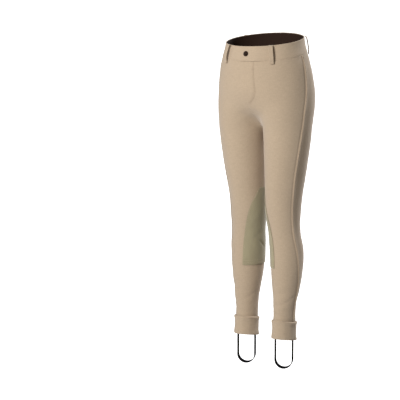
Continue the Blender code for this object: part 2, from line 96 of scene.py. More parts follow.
FORM = (
    # height, centre_x, centre_y, half_width, half_depth, front_blend, back_blend
    (0.070, 0.0165, -0.001, 0.1000, 0.0845, 0.060, 0.050),
    (0.025, 0.0195, 0.000, 0.1030, 0.0875, 0.065, 0.050),
    (0.000, 0.0240, 0.000, 0.1040, 0.0890, 0.070, 0.055),
    (-0.040, 0.0300, 0.001, 0.1105, 0.0960, 0.080, 0.060),
    (-0.087, 0.0405, 0.0045, 0.1090, 0.1000, 0.095, 0.060),
    (-0.134, 0.0520, 0.0065, 0.1020, 0.1030, 0.100, 0.055),
    (-0.180, 0.0640, 0.0055, 0.0905, 0.0965, 0.080, 0.048),
    (-0.216, 0.0735, 0.0045, 0.0780, 0.0890, 0.040, 0.032),
    (-0.253, 0.0770, 0.0045, 0.0710, 0.0825, 0.021, 0.021),
    (-0.344, 0.0715, 0.0065, 0.0635, 0.0755, 0.016, 0.016),
    (-0.436, 0.0640, 0.0085, 0.0555, 0.0660, 0.014, 0.014),
    (-0.503, 0.0615, 0.0095, 0.0515, 0.0580, 0.012, 0.012),
    (-0.560, 0.0645, 0.0130, 0.0475, 0.0530, 0.012, 0.012),
    (-0.619, 0.0695, 0.0185, 0.0495, 0.0550, 0.012, 0.012),
    (-0.665, 0.0705, 0.0185, 0.0485, 0.0550, 0.012, 0.012),
    (-0.711, 0.0705, 0.0160, 0.0445, 0.0510, 0.012, 0.012),
    (-0.772, 0.0695, 0.0110, 0.0365, 0.0425, 0.012, 0.012),
    (-0.811, 0.0685, 0.0085, 0.0335, 0.0395, 0.012, 0.012),
    (-0.850, 0.0685, 0.0075, 0.0330, 0.0390, 0.012, 0.012),
    (-0.885, 0.0685, 0.0065, 0.0335, 0.0400, 0.012, 0.012),
    (-0.930, 0.0685, 0.0065, 0.0335, 0.0400, 0.012, 0.012),
)

TILT = (
    # level, rise of the level per metre toward the back
    (0.070, 0.195),
    (-0.020, 0.175),
    (-0.080, 0.085),
    (-0.150, 0.000),
    (-0.730, 0.000),
    (-0.830, -0.150),
    (-0.930, -0.150),
)

SIDE_SEAM = (
    # level, angle
    (0.024, 84),
    (-0.030, 83),
    (-0.126, 78),
    (-0.206, 70),
    (-0.296, 62),
    (-0.396, 58),
    (-0.506, 61),
    (-0.596, 65),
    (-0.666, 75),
    (-0.736, 86),
    (-0.906, 90),
)

SEAT_SEAM = (
    # step, level, share of the way from the centre back to the side seam
    (0.00, -0.0765, 0.000),
    (0.06, -0.0805, 0.118),
    (0.13, -0.0940, 0.208),
    (0.20, -0.1160, 0.285),
    (0.27, -0.1440, 0.345),
    (0.34, -0.1760, 0.375),
    (0.42, -0.2160, 0.400),
    (0.52, -0.2860, 0.463),
    (0.64, -0.3660, 0.420),
    (0.76, -0.4460, 0.362),
    (0.86, -0.5160, 0.283),
    (0.94, -0.5710, 0.149),
    (1.00, -0.6060, 0.027),
)

PATCH_EDGES = (
    # level, front edge angle, rear edge angle
    (-0.428, -76, -98),
    (-0.432, -67, -110),
    (-0.442, -59, -122),
    (-0.456, -51, -134),
    (-0.476, -39, -148),
    (-0.501, -30, -158),
    (-0.531, -23, -165),
    (-0.568, -18, -168),
    (-0.616, -15, -164),
    (-0.671, -14, -158),
)

LOOP_PATH = (
    # level, stand-off from the band
    (-0.0310, 2.6 * MM),
    (-0.0265, 2.8 * MM),
    (-0.0230, 4.6 * MM),
    (-0.0165, 6.9 * MM),
    (-0.0075, 7.8 * MM),
    (0.0030, 7.9 * MM),
    (0.0130, 7.5 * MM),
    (0.0190, 6.2 * MM),
    (0.0218, 3.8 * MM),
    (0.0224, 1.2 * MM),
)

LOOPS = (
    # name, side, share of the way from the centre front to the centre back
    ("loop_front_left", 1, 0.205),
    ("loop_front_right", -1, 0.205),
    ("loop_back_left", 1, 0.660),
    ("loop_back_right", -1, 0.660),
    ("loop_centre_back", 1, 1.000),
)

FOLDS = (
    # sides (0 both, 1 left, -1 right), angle, level, half_angle, half_height, rise per radian, depth
    (0, 176, -0.234, 38, 0.022, 0.012, -4.5 * MM),
    (0, -52, -0.212, 26, 0.022, -0.040, -1.7 * MM),
    (0, 178, -0.521, 46, 0.020, 0.010, -2.0 * MM),
    (0, 10, -0.748, 62, 0.016, 0.012, -1.8 * MM),
    (0, 150, -0.782, 70, 0.016, -0.014, -1.8 * MM),
    (0, 20, -0.814, 80, 0.013, 0.008, -1.6 * MM),
    (1, -60, -0.232, 20, 0.007, -0.055, -1.3 * MM),
    (1, -34, -0.190, 26, 0.008, -0.060, -0.9 * MM),
    (-1, -66, -0.226, 22, 0.006, -0.048, -1.4 * MM),
    (-1, -30, -0.196, 30, 0.009, -0.052, -0.8 * MM),
    (1, 196, -0.258, 26, 0.008, 0.030, -1.3 * MM),
    (-1, 204, -0.262, 22, 0.007, 0.024, -1.5 * MM),
    (1, 150, -0.250, 20, 0.007, -0.022, -0.9 * MM),
    (1, 182, -0.500, 34, 0.007, 0.016, -1.1 * MM),
    (-1, 188, -0.506, 30, 0.006, -0.014, -1.2 * MM),
    (1, 170, -0.540, 38, 0.008, -0.012, -1.0 * MM),
    (-1, 176, -0.536, 42, 0.007, 0.010, -1.0 * MM),
    (-1, -86, -0.606, 15, 0.005, 0.048, -1.9 * MM),
    (-1, -70, -0.575, 20, 0.009, -0.030, -1.0 * MM),
    (1, -84, -0.588, 18, 0.006, 0.040, -1.4 * MM),
    (1, -20, -0.726, 40, 0.008, 0.020, -0.9 * MM),
    (-1, 24, -0.732, 36, 0.007, -0.020, -0.9 * MM),
    (1, 60, -0.764, 34, 0.006, 0.026, -1.1 * MM),
    (-1, -46, -0.770, 40, 0.006, -0.024, -1.2 * MM),
    (1, -10, -0.792, 50, 0.006, 0.016, -1.3 * MM),
    (-1, 16, -0.796, 46, 0.006, 0.012, -1.2 * MM),
    (1, 200, -0.806, 44, 0.006, 0.014, -1.1 * MM),
    (-1, 190, -0.762, 40, 0.007, -0.012, -1.0 * MM),
    (1, 30, -0.828, 60, 0.005, -0.010, -1.2 * MM),
    (-1, -20, -0.826, 56, 0.005, 0.012, -1.3 * MM),
)


class Curve:
    """Smooth curves through the rows of a table, found by one of its columns."""

    def __init__(self, table, key=0):
        rows = np.array(sorted(table, key=lambda row: row[key]), float)
        self.knots = rows[:, key]
        self.values = np.delete(rows, key, axis=1)
        before = np.maximum(np.arange(len(rows)) - 1, 0)
        after = np.minimum(np.arange(len(rows)) + 1, len(rows) - 1)
        run = (self.knots[after] - self.knots[before])[:, None]
        self.slopes = (self.values[after] - self.values[before]) / run

    def __call__(self, at):
        at = np.clip(np.asarray(at, float), self.knots[0], self.knots[-1])
        low = np.clip(np.searchsorted(self.knots, at, side="left") - 1, 0, len(self.knots) - 2)
        span = (self.knots[low + 1] - self.knots[low])[..., None]
        share = (at - self.knots[low])[..., None] / span
        squared, cubed = share ** 2, share ** 3
        return (
            (2 * cubed - 3 * squared + 1) * self.values[low]
            + (cubed - 2 * squared + share) * self.slopes[low] * span
            + (3 * squared - 2 * cubed) * self.values[low + 1]
            + (cubed - squared) * self.slopes[low + 1] * span
        )


form_at = Curve(FORM)
tilt_at = Curve(TILT)
side_at = Curve(SIDE_SEAM)
seat_seam_at = Curve(SEAT_SEAM)
patch_edges_at = Curve(PATCH_EDGES)


def mean_radius(level):
    form = form_at(level)
    return (form[..., 2] + form[..., 3]) / 2


def turn_for(distance, level):
    """Degrees round the leg that a distance along the cloth takes up."""
    return np.degrees(distance / mean_radius(level))


def eased(share):
    """Smooth step from 0 to 1."""
    share = np.clip(share, 0, 1)
    return share ** 2 * (3 - 2 * share)


def outside_tube(x, y, row):
    across, along = (x - row[..., 0]) / row[..., 2], (y - row[..., 1]) / row[..., 3]
    size = np.maximum(np.hypot(across, along), 1e-6)
    steepness = np.maximum(np.hypot(across / row[..., 2], along / row[..., 3]), 1e-6)
    return (size - 1) * size / steepness


def outside(x, y, z):
    """Rough distance of points outside the form, negative inside it."""
    row = form_at(z)
    near, far = outside_tube(x, y, row), outside_tube(-x, y, row)
    toward_back = eased((y - row[..., 1]) / row[..., 3] + 0.5)
    blend = row[..., 4] + (row[..., 5] - row[..., 4]) * toward_back
    overlap = np.maximum(blend - np.abs(near - far), 0) / blend
    return np.minimum(near, far) - overlap ** 2 * blend / 4


def furthest_inside(place, near, far):
    """The last values between near and far whose places are still inside the form."""
    for _ in range(28):
        middle = (near + far) / 2
        inside = outside(*place(middle)) < 0
        near, far = np.where(inside, middle, near), np.where(inside, far, middle)
    return near


def on_level(x, y, level):
    return x, y, level + tilt_at(level)[..., 0] * y


def crotch_level():
    def place(level):
        return on_level(np.zeros_like(level), form_at(level)[..., 1], level)
    return float(furthest_inside(place, np.array([-0.18]), np.array([-0.35]))[0])


CROTCH = crotch_level()


def centre_angles(level):
    """Angles of the centre front and the centre back, or of the inner leg below the crotch."""
    level = np.asarray(level, float)
    centre = form_at(level)
    found = []
    for way in (-1, 1):
        def place(reach):
            return on_level(np.zeros_like(level), centre[..., 1] + way * reach, level)
        reach = furthest_inside(place, np.zeros_like(level), np.full_like(level, 0.2))
        found.append(np.degrees(np.arctan2(-centre[..., 0], -way * reach)))
    below = level <= CROTCH + 0.01 * MM
    return np.where(below, -90.0, found[0]), np.where(below, 270.0, found[1] % 360)


def fold_relief(angle, level, side):
    """Depth of the main creases, as soft troughs."""
    depth = np.zeros(np.broadcast(angle, level).shape)
    for sides, fold_angle, fold_level, half_angle, half_height, rise, fold in FOLDS:
        if sides in (0, side):
            turn = (angle - fold_angle + 180) % 360 - 180
            drop = level - fold_level - rise * np.radians(turn)
            depth = depth + fold * np.exp(-(turn / half_angle) ** 2 - (drop / half_height) ** 2)
    return depth


def seam_relief(angle, level, side):
    """The pressed side seam: a low ridge that drops off behind its piping, with a crease before it."""
    away = np.radians(angle - side_at(level)[..., 0]) * mean_radius(level)
    present = eased((BAND_BOTTOM - 4 * MM - level) / (30 * MM)) * eased((level + 0.832) / (25 * MM))
    swell = 1 + 0.16 * np.sin(17 * level + 0.7 * side) + 0.10 * np.sin(43 * level + side)
    crease = -1.2 * MM * np.exp(-((away + 3.9 * MM) / (2.1 * MM)) ** 2)
    before = 4.0 * MM * np.exp(np.minimum(away, 0) / (24 * MM)) + crease
    behind = np.maximum(away, 0)
    behind = 7.0 * MM * np.exp(-behind / (7 * MM)) - 3.0 * MM * np.exp(-(behind / (36 * MM)) ** 2)
    swell = swell * (1 - 0.55 * eased((-0.56 - level) / 0.14))
    return present * swell * np.where(away < 0, before, behind)


def fly_relief(across, along, level, side):
    """The left front laps over the right one down the fly, and fades out at the crotch."""
    present = eased((level + 0.205) / (45 * MM)) * eased((BAND_BOTTOM + 1 * MM - level) / (3 * MM))
    rise = 0.5 * MM if side > 0 else -0.5 * MM
    return np.where(along < 0, present * rise * np.exp(-(across / (7 * MM)) ** 2), 0.0)


def uneven(point, side):
    """Slow waves of a fraction of a millimetre, so that no panel is perfectly smooth."""
    x, y, z = point[..., 0] + side * 0.31, point[..., 1], point[..., 2]
    slow = np.sin(37 * z + 21 * x + 1.3) * np.sin(24 * y - 17 * z + 0.4)
    middle = np.sin(83 * z - 61 * y + 2.1) * np.sin(71 * x + 44 * z + side)
    return 0.45 * MM * slow + 0.18 * MM * middle


def cloth(angle, level, lift=0.0, side=1):
    """Points of the cloth's outer face and the ways they face, lifted off it if asked."""
    angle, level = np.broadcast_arrays(np.asarray(angle, float), np.asarray(level, float))
    centre = form_at(level)
    across, along = np.sin(np.radians(angle)), -np.cos(np.radians(angle))
    limit = np.where(across < 0, centre[..., 0] / np.maximum(-across, 1e-9), 0.25)

    def place(reach):
        return on_level(centre[..., 0] + reach * across, centre[..., 1] + reach * along, level)

    reach = furthest_inside(place, np.zeros_like(level), np.minimum(limit, 0.25))
    x, y, z = place(reach)
    step = 0.5 * MM
    way = np.stack((
        outside(x + step, y, z) - outside(x - step, y, z),
        outside(x, y + step, z) - outside(x, y - step, z),
        outside(x, y, z + step) - outside(x, y, z - step),
    ), axis=-1)
    middle = x < 0.01 * MM
    x = np.where(middle, 0.0, x)
    way[..., 0] = np.where(middle, 0.0, way[..., 0])
    way /= np.linalg.norm(way, axis=-1, keepdims=True)
    point = np.stack((x, y, z), axis=-1)
    height = (lift + fold_relief(angle, level, side) + seam_relief(angle, level, side)
              + fly_relief(x, y, level, side) + uneven(point, side))
    point = point + way * np.asarray(height)[..., None]
    point[..., 0] = np.where(middle, 0.0, point[..., 0]) * side
    way[..., 0] *= side
    return point, way


# ---------------------------------------------------------------- meshes

def unit(vectors):
    return vectors / np.maximum(np.linalg.norm(vectors, axis=-1, keepdims=True), 1e-12)


def mesh_piece(name, points, faces, material, uv=None):
    data = bpy.data.meshes.new(name)
    data.from_pydata(points.tolist(), [], faces.tolist() if hasattr(faces, "tolist") else faces)
    data.polygons.foreach_set("use_smooth", [True] * len(data.polygons))
    if uv is not None:
        corners = np.empty(len(data.loops), np.int32)
        data.loops.foreach_get("vertex_index", corners)
        data.uv_layers.new(name="cloth").data.foreach_set("uv", uv[corners].ravel())
    data.materials.append(material)
    data.validate()
    piece = bpy.data.objects.new(name, data)
    bpy.context.scene.collection.objects.link(piece)
    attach(piece, "root")
    return piece


def along_rows(points):
    steps = np.linalg.norm(np.diff(points, axis=1), axis=-1)
    return np.concatenate((np.zeros((len(points), 1)), np.cumsum(steps, axis=1)), axis=1)


RIM_SQUARENESS = 0.55


def wall(name, points, ways, thickness, material, rim_steps=3):
    """A closed wall of cloth with rounded edges, from a grid of outer points and their ways."""
    rows, columns = points.shape[:2]
    index = np.arange(rows * columns).reshape(rows, columns)
    inner_points = points - ways * thickness
    inner = index + rows * columns
    quads = np.stack((index[:-1, :-1], index[1:, :-1], index[1:, 1:], index[:-1, 1:]), axis=-1)
    quads = quads.reshape(-1, 4)
    inner_quads = np.stack((inner[:-1, :-1], inner[:-1, 1:], inner[1:, 1:], inner[1:, :-1]), axis=-1)
    faces = [quads, inner_quads.reshape(-1, 4)]
    vertices = [points.reshape(-1, 3), inner_points.reshape(-1, 3)]
    uv = np.stack((along_rows(points), along_rows(points.transpose(1, 0, 2)).T), axis=-1)
    uvs = [uv.reshape(-1, 2), uv.reshape(-1, 2)]

    edge = np.concatenate((index[0, :-1], index[:-1, -1], index[-1, :0:-1], index[:0:-1, 0]))
    behind = np.concatenate((index[1, :-1], index[:-1, -2], index[-2, :0:-1], index[:0:-1, 1]))
    behind[0], behind[columns - 1] = index[1, 1], index[1, -2]
    behind[columns + rows - 2], behind[2 * columns + rows - 3] = index[-2, -2], index[-2, 1]
    count = 2 * rows * columns
    flat_points, flat_ways, flat_uv = vertices[0], ways.reshape(-1, 3), uvs[0]
    tangent = np.roll(flat_points[edge], -1, axis=0) - np.roll(flat_points[edge], 1, axis=0)
    outward = unit(np.cross(flat_ways[edge], tangent))
    away = np.sum(outward * (flat_points[edge] - flat_points[behind]), axis=-1, keepdims=True)
    outward *= np.where(away < 0, -1.0, 1.0)
    rings = [edge]
    for step in range(1, rim_steps + 1):
        turn = math.pi * step / (rim_steps + 1)
        down = math.copysign(abs(math.cos(turn)) ** RIM_SQUARENESS, math.cos(turn))
        ring = flat_points[edge] - flat_ways[edge] * thickness / 2 * (1 - down)
        vertices.append(ring + outward * thickness / 2 * math.sin(turn) ** RIM_SQUARENESS)
        uvs.append(flat_uv[edge])
        rings.append(count + np.arange(len(edge)))
        count += len(edge)
    rings.append(edge + rows * columns)
    for upper, lower in zip(rings, rings[1:]):
        faces.append(np.stack((upper, np.roll(upper, -1), np.roll(lower, -1), lower), axis=-1))
    faces = np.concatenate(faces)
    middle = quads[len(quads) // 2]
    corner = flat_points[middle]
    facing = np.cross(corner[1] - corner[0], corner[3] - corner[0])
    if np.dot(facing, flat_ways[middle[0]]) < 0:
        faces = faces[:, ::-1]
    return mesh_piece(name, np.concatenate(vertices), faces, material, np.concatenate(uvs))


def ring_sweep(name, sections, material, closed_round=True):
    """A tube through closed sections, joined round into a ring or capped at its ends."""
    count, around = sections.shape[:2]
    index = np.arange(count * around).reshape(count, around)
    following = np.roll(index, -1, axis=1)
    last = count if closed_round else count - 1
    faces = []
    for row in range(last):
        after = (row + 1) % count
        faces += np.stack((index[row], following[row], following[after], index[after]), axis=-1).tolist()
    if not closed_round:
        faces.append(index[0][::-1].tolist())
        faces.append(index[-1].tolist())
    lengths = along_rows(np.concatenate((sections, sections[:, :1]), axis=1))[:, :-1]
    down = along_rows(sections.transpose(1, 0, 2)).T
    uv = np.stack((down, lengths), axis=-1).reshape(-1, 2)
    return mesh_piece(name, sections.reshape(-1, 3), faces, material, uv)


def resampled(line, values, spacing):
    """Positions and carried vectors at even steps along a line."""
    reach = np.concatenate(([0.0], np.cumsum(np.linalg.norm(np.diff(line, axis=0), axis=1))))
    steps = np.arange(0.0, reach[-1], spacing)

    def pick(array, at):
        return np.stack([np.interp(at, reach, array[:, axis]) for axis in range(3)], axis=-1)

    return steps, lambda at: (pick(line, at), unit(pick(values, at)))


STITCH_ARCH = (-0.10, 0.20, 0.26, 0.20, -0.10)


def stitch_mesh(lines, length=2.6 * MM, gap=0.7 * MM, radius=0.26 * MM):
    """Points and faces of every stitch along some lines of (points, ways)."""
    sides = 5
    all_points, all_faces, count = [], [], 0
    for line, ways in lines:
        starts, at = resampled(line, ways, length + gap)
        rings = []
        for share, height in zip(np.linspace(0, 1, len(STITCH_ARCH)), STITCH_ARCH):
            centre, way = at(starts + share * length)
            ahead, _ = at(starts + share * length + 0.1 * MM)
            tangent = unit(ahead - centre + 1e-12)
            across = unit(np.cross(tangent, way))
            thick = radius * (0.45 if share in (0, 1) else 1.0)
            ring = []
            for side in range(sides):
                turn = 2 * math.pi * side / sides
                ring.append(centre + way * (height * MM + thick * math.sin(turn))
                            + across * thick * math.cos(turn))
            rings.append(np.stack(ring, axis=1))
        stitches = np.stack(rings, axis=1)
        number, ring_count = len(starts), len(STITCH_ARCH)
        index = np.arange(number * ring_count * sides).reshape(number, ring_count, sides) + count
        following = np.roll(index, -1, axis=2)
        quads = np.stack((index[:, :-1], following[:, :-1], following[:, 1:], index[:, 1:]), axis=-1)
        all_faces += quads.reshape(-1, 4).tolist()
        all_faces += index[:, 0, ::-1].tolist()
        all_faces += index[:, -1].tolist()
        all_points.append(stitches.reshape(-1, 3))
        count += number * ring_count * sides
    return np.concatenate(all_points), all_faces


def stitching(name, lines, material, **size):
    piece = mesh_piece(name, *stitch_mesh(lines, **size), material)
    return piece


def fitted(width, spacing, edge=EDGE_INSET, near=(0.5, 1.3, 2.6, 4.6)):
    """Shares across a width in metres, close together near both edges and inset from them."""
    steps = [edge] + [edge + distance * MM for distance in near]
    inner = max(int(round((width - 2 * steps[-1]) / spacing * FINE)), 3)
    body = np.linspace(steps[-1], width - steps[-1], inner + 1)
    return np.concatenate((steps[:-1], body, [width - step for step in steps[-2::-1]])) / width


# ---------------------------------------------------------------- materials

def shade(colour, factor):
    return tuple(channel * factor for channel in colour)


class Nodes:
    """Short names for the nodes of one procedural material."""

    def __init__(self, name, roughness, **sockets):
        self.material = bpy.data.materials.new(name)
        self.material.use_nodes = True
        self.tree = self.material.node_tree
        self.shader = self.tree.nodes["Principled BSDF"]
        self.shader.inputs["Roughness"].default_value = roughness
        for socket, value in sockets.items():
            self.shader.inputs[socket.replace("_", " ")].default_value = value
        self.coordinates = self.tree.nodes.new("ShaderNodeTexCoord")

    def link(self, source, target):
        self.tree.links.new(source, target)

    def noise(self, scale, detail=3.0, rough=0.5, space="Object", stretch=(1, 1, 1)):
        node = self.tree.nodes.new("ShaderNodeTexNoise")
        node.inputs["Scale"].default_value = scale
        node.inputs["Detail"].default_value = detail
        node.inputs["Roughness"].default_value = rough
        self.link(self.placed(space, stretch), node.inputs["Vector"])
        return node.outputs["Fac"]

    def placed(self, space, stretch=(1, 1, 1)):
        mapping = self.tree.nodes.new("ShaderNodeMapping")
        mapping.inputs["Scale"].default_value = stretch
        self.link(self.coordinates.outputs[space], mapping.inputs["Vector"])
        return mapping.outputs["Vector"]

    def bands(self, period, direction, distortion=0.0, space="UV"):
        node = self.tree.nodes.new("ShaderNodeTexWave")
        node.bands_direction = direction
        node.wave_profile = "SIN"
        node.inputs["Scale"].default_value = 0.314 / period
        node.inputs["Distortion"].default_value = distortion
        node.inputs["Detail"].default_value = 1.0
        self.link(self.placed(space), node.inputs["Vector"])
        return node.outputs["Fac"]

    def math(self, operation, first, second):
        node = self.tree.nodes.new("ShaderNodeMath")
        node.operation = operation
        for value, socket in ((first, node.inputs[0]), (second, node.inputs[1])):
            if isinstance(value, (int, float)):
                socket.default_value = value
            else:
                self.link(value, socket)
        return node.outputs[0]

    def shades(self, factor, colour, *stops):
        """A ramp through shades of one colour, from stops of (position, brightness)."""
        node = self.tree.nodes.new("ShaderNodeValToRGB")
        for element, (position, brightness) in zip(node.color_ramp.elements, stops):
            element.position = position
            element.color = (*shade(colour, brightness), 1)
        self.link(factor, node.inputs["Fac"])
        return node.outputs["Color"]

    def mix(self, factor, first, second):
        node = self.tree.nodes.new("ShaderNodeMix")
        node.data_type = "RGBA"
        for value, socket in ((factor, node.inputs["Factor"]), (first, node.inputs["A"]),
                              (second, node.inputs["B"])):
            if isinstance(value, (int, float)):
                socket.default_value = value
            elif isinstance(value, tuple):
                socket.default_value = (*value, 1)
            else:
                self.link(value, socket)
        return node.outputs["Result"]

    def bump(self, height, distance, strength=1.0, under=None):
        node = self.tree.nodes.new("ShaderNodeBump")
        node.inputs["Distance"].default_value = distance
        node.inputs["Strength"].default_value = strength
        self.link(height, node.inputs["Height"])
        if under is not None:
            self.link(under, node.inputs["Normal"])
        return node.outputs["Normal"]

    def finish(self, colour, normal):
        self.link(colour, self.shader.inputs["Base Color"])
        self.link(normal, self.shader.inputs["Normal"])
        return self.material


def knit_material(name, colour, rib=0.9 * MM, depth=0.05 * MM, contrast=0.05, sheen=0.3):
    """Stretch cloth: fine ribs and wales, a melange of lighter and darker yarn, a faint nap."""
    nodes = Nodes(name, 0.86, Sheen_Weight=sheen, Sheen_Roughness=0.55)
    nodes.shader.inputs["Specular IOR Level"].default_value = 0.25
    mottle = nodes.noise(9.0, 4.0, 0.55)
    tone = nodes.shades(mottle, colour, (0.30, 1 - contrast), (0.70, 1 + contrast))
    picks = nodes.noise(70.0, 3.0, 0.6, "UV", (1.0, 4.5, 1))
    tone = nodes.mix(0.50, tone, nodes.shades(picks, colour, (0.30, 0.84), (0.70, 1.15)))
    ends = nodes.noise(110.0, 2.0, 0.6, "UV", (3.5, 1.0, 1))
    tone = nodes.mix(0.30, tone, nodes.shades(ends, colour, (0.30, 0.82), (0.70, 1.16)))
    fibre = nodes.noise(900.0, 2.0, 0.6, "UV", (1, 1.8, 1))
    tone = nodes.mix(0.18, tone, nodes.shades(fibre, colour, (0.25, 0.72), (0.75, 1.22)))
    ribs = nodes.bands(rib, "Y", 0.6)
    wales = nodes.bands(rib * 0.62, "X", 0.4)
    weave = nodes.math("MULTIPLY", ribs, wales)
    normal = nodes.bump(weave, depth, 0.8)
    normal = nodes.bump(nodes.noise(140.0, 3.0, 0.6), 0.25 * MM, 0.35, normal)
    return nodes.finish(tone, normal)


def suede_material(name, colour):
    """Suede: a short nap that lies in soft lighter and darker strokes. This is partly the suede's own
    uneven tone and partly painted light: lighter where the nap stands higher, with painted shade in its
    hollows.
    """
    nodes = Nodes(name, 0.95, Sheen_Weight=0.45, Sheen_Roughness=0.5)
    nodes.shader.inputs["Specular IOR Level"].default_value = 0.12
    strokes = nodes.noise(26.0, 5.0, 0.62, "Object", (1.6, 1.6, 0.8))
    # Partly the suede's own tone, partly painted light: the strokes are lighter where they stand higher in
    # the bump below.
    tone = nodes.shades(strokes, colour, (0.28, 0.90), (0.72, 1.09))
    nap = nodes.noise(1300.0, 2.0, 0.7)
    # Painted light on the nap: lighter on its raised tips, with painted shade between them.
    tone = nodes.mix(0.22, tone, nodes.shades(nap, colour, (0.25, 0.66), (0.75, 1.26)))
    normal = nodes.bump(nap, 0.12 * MM, 0.7)
    normal = nodes.bump(strokes, 0.6 * MM, 0.25, normal)
    return nodes.finish(tone, normal)


def elastic_material(name, colour):
    """Woven elastic: lengthwise cords crossed by fine picks, with painted shade in the grooves and a
    painted highlight on the raised cords.
    """
    nodes = Nodes(name, 0.95)
    nodes.shader.inputs["Specular IOR Level"].default_value = 0.02
    cords = nodes.bands(2.2 * MM, "X", 0.2)
    picks = nodes.bands(0.8 * MM, "Y", 0.3)
    relief = nodes.math("ADD", nodes.math("MULTIPLY", cords, 0.6), nodes.math("MULTIPLY", picks, 0.4))
    # Painted shade and highlight: the colour follows the relief, darker in its grooves and lighter on its
    # crowns.
    tone = nodes.shades(relief, colour, (0.2, 0.6), (0.9, 1.7))
    return nodes.finish(tone, nodes.bump(relief, 0.25 * MM, 0.8))


def plastic_material(name, colour):
    """Dyed button plastic: a dark swirl under a soft gloss."""
    nodes = Nodes(name, 0.50)
    nodes.shader.inputs["Specular IOR Level"].default_value = 0.12
    swirl = nodes.noise(160.0, 4.0, 0.6, "Object", (1, 1, 3))
    tone = nodes.shades(swirl, colour, (0.35, 0.6), (0.65, 2.2))
    return nodes.finish(tone, nodes.bump(nodes.noise(900.0, 2.0), 0.02 * MM, 0.4))


def floor_material(name, colour, glow):
    """Bright paper, lit from behind so that it stays pale."""
    nodes = Nodes(name, 0.9)
    nodes.shader.inputs["Emission Color"].default_value = (1, 1, 1, 1)
    nodes.shader.inputs["Emission Strength"].default_value = glow
    tone = nodes.shades(nodes.noise(0.6, 2.0), colour, (0.3, 0.99), (0.7, 1.0))
    return nodes.finish(tone, nodes.bump(nodes.noise(60.0, 2.0), 0.1 * MM, 0.2))


BEIGE = (0.450, 0.345, 0.240)
PINK_BEIGE = (0.520, 0.405, 0.315)
SUEDE = (0.345, 0.300, 0.190)
DARK_BROWN = (0.021, 0.0085, 0.0040)
BLACK = (0.004, 0.004, 0.0045)
BUTTON_BROWN = (0.013, 0.0055, 0.0025)
THREAD = (0.500, 0.385, 0.270)
THREAD_BROWN = (0.035, 0.018, 0.010)

CLOTH_LOOK = knit_material("beige_knit", BEIGE)
BAND_LOOK = knit_material("band_knit", shade(BEIGE, 1.02))
# Painted shade: the piping is the panels' beige cloth, darkened to 0.86 so that its raised crown looks no
# lighter than the front panels.
PIPING_SHADED_LOOK = knit_material("piping_knit_painted_shade", shade(BEIGE, 0.86), sheen=0.1)
SEAT_LOOK = knit_material("seat_knit", PINK_BEIGE)
THREAD_LOOK = knit_material("beige_thread", THREAD, 0.3 * MM, 0.03 * MM)
FACING_LOOK = knit_material("dark_facing", DARK_BROWN, 1.2 * MM, 0.08 * MM, sheen=0.0)
BUTTON_THREAD_LOOK = knit_material("brown_thread", THREAD_BROWN, 0.3 * MM, 0.03 * MM, sheen=0.0)
SUEDE_LOOK = suede_material("knee_suede_painted_light", SUEDE)
ELASTIC_LOOK = elastic_material("black_elastic_painted_light", BLACK)
BUTTON_LOOK = plastic_material("button_brown", BUTTON_BROWN)


def declare(node, points):
    """Hides the solid that a sheet of cloth stands for, and works out the flat size and area it was cut to,
    which nothing here uses.
    """
    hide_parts(node)
    width = float(along_rows(points)[:, -1].max()) + CLOTH
    length = float(along_rows(points.transpose(1, 0, 2))[:, -1].max()) + CLOTH
    corners = points[:-1, :-1], points[1:, :-1], points[1:, 1:], points[:-1, 1:]
    first = np.cross(corners[1] - corners[0], corners[2] - corners[0])
    second = np.cross(corners[2] - corners[0], corners[3] - corners[0])
    area = float((np.linalg.norm(first, axis=-1) + np.linalg.norm(second, axis=-1)).sum() / 2)
    area += CLOTH * (width + length)
    width, length = round(width, 4), round(length, 4)
    area = min(area, width * length)


# ---------------------------------------------------------------- panels

def near_inner_levels():
    """Levels close together round the crotch, where the form curves most."""
    return CROTCH + np.array((0.024, 0.018, 0.013, 0.009, 0.0062, 0.004, 0.0024, 0.0012, 0.0004, 0.0,
                              -0.0012, -0.003, -0.0055, -0.009, -0.0135, -0.019, -0.025, -0.032))


def panel_levels(first, last, spacing=ROW_SPACING):
    """Levels from first to last, with the close ones round the crotch and near both ends."""
    near = near_inner_levels()
    length = first - near[0]
    above = first - fitted(length, spacing)[:-5] * length
    length = near[-1] - last
    below = near[-1] - fitted(length, spacing)[5:] * length
    return np.concatenate((above, near, below))


def row_shares(points_per_row, widths):
    """One share row for each width, all with the same number of steps."""
    inset = (EDGE_INSET + np.array((0.0, 0.5, 1.3, 2.6, 4.6)) * MM)[None, :] / widths[:, None]
    inner = np.linspace(0, 1, points_per_row - 8)[None, 1:-1]
    body = inset[:, -1:] + inner * (1 - 2 * inset[:, -1:])
    return np.concatenate((inset, body, 1 - inset[:, ::-1]), axis=1)


def seam_steps(first, arch_end, last, arch_count, count):
    """Steps down the seat seam, close together round the top of its arch."""
    arch = np.linspace(first, arch_end, arch_count + 1)[:-1]
    return np.concatenate((arch, np.linspace(arch_end, last, int(count * FINE))))


def seat_seam_points(steps):
    found = seat_seam_at(steps)
    level, share = found[..., 0], found[..., 1]
    centre_back = centre_angles(level)[1]
    return level, centre_back + (side_at(level)[..., 0] - centre_back) * share


def stood_back(levels, angles, inward):
    """Degrees by which a panel's edge stands back from a seam on the wearer's middle or inner leg."""
    turn = 0.6
    moved = cloth(angles + inward * turn, levels)[0] - cloth(angles, levels)[0]
    return turn * EDGE_INSET / np.linalg.norm(moved, axis=-1)


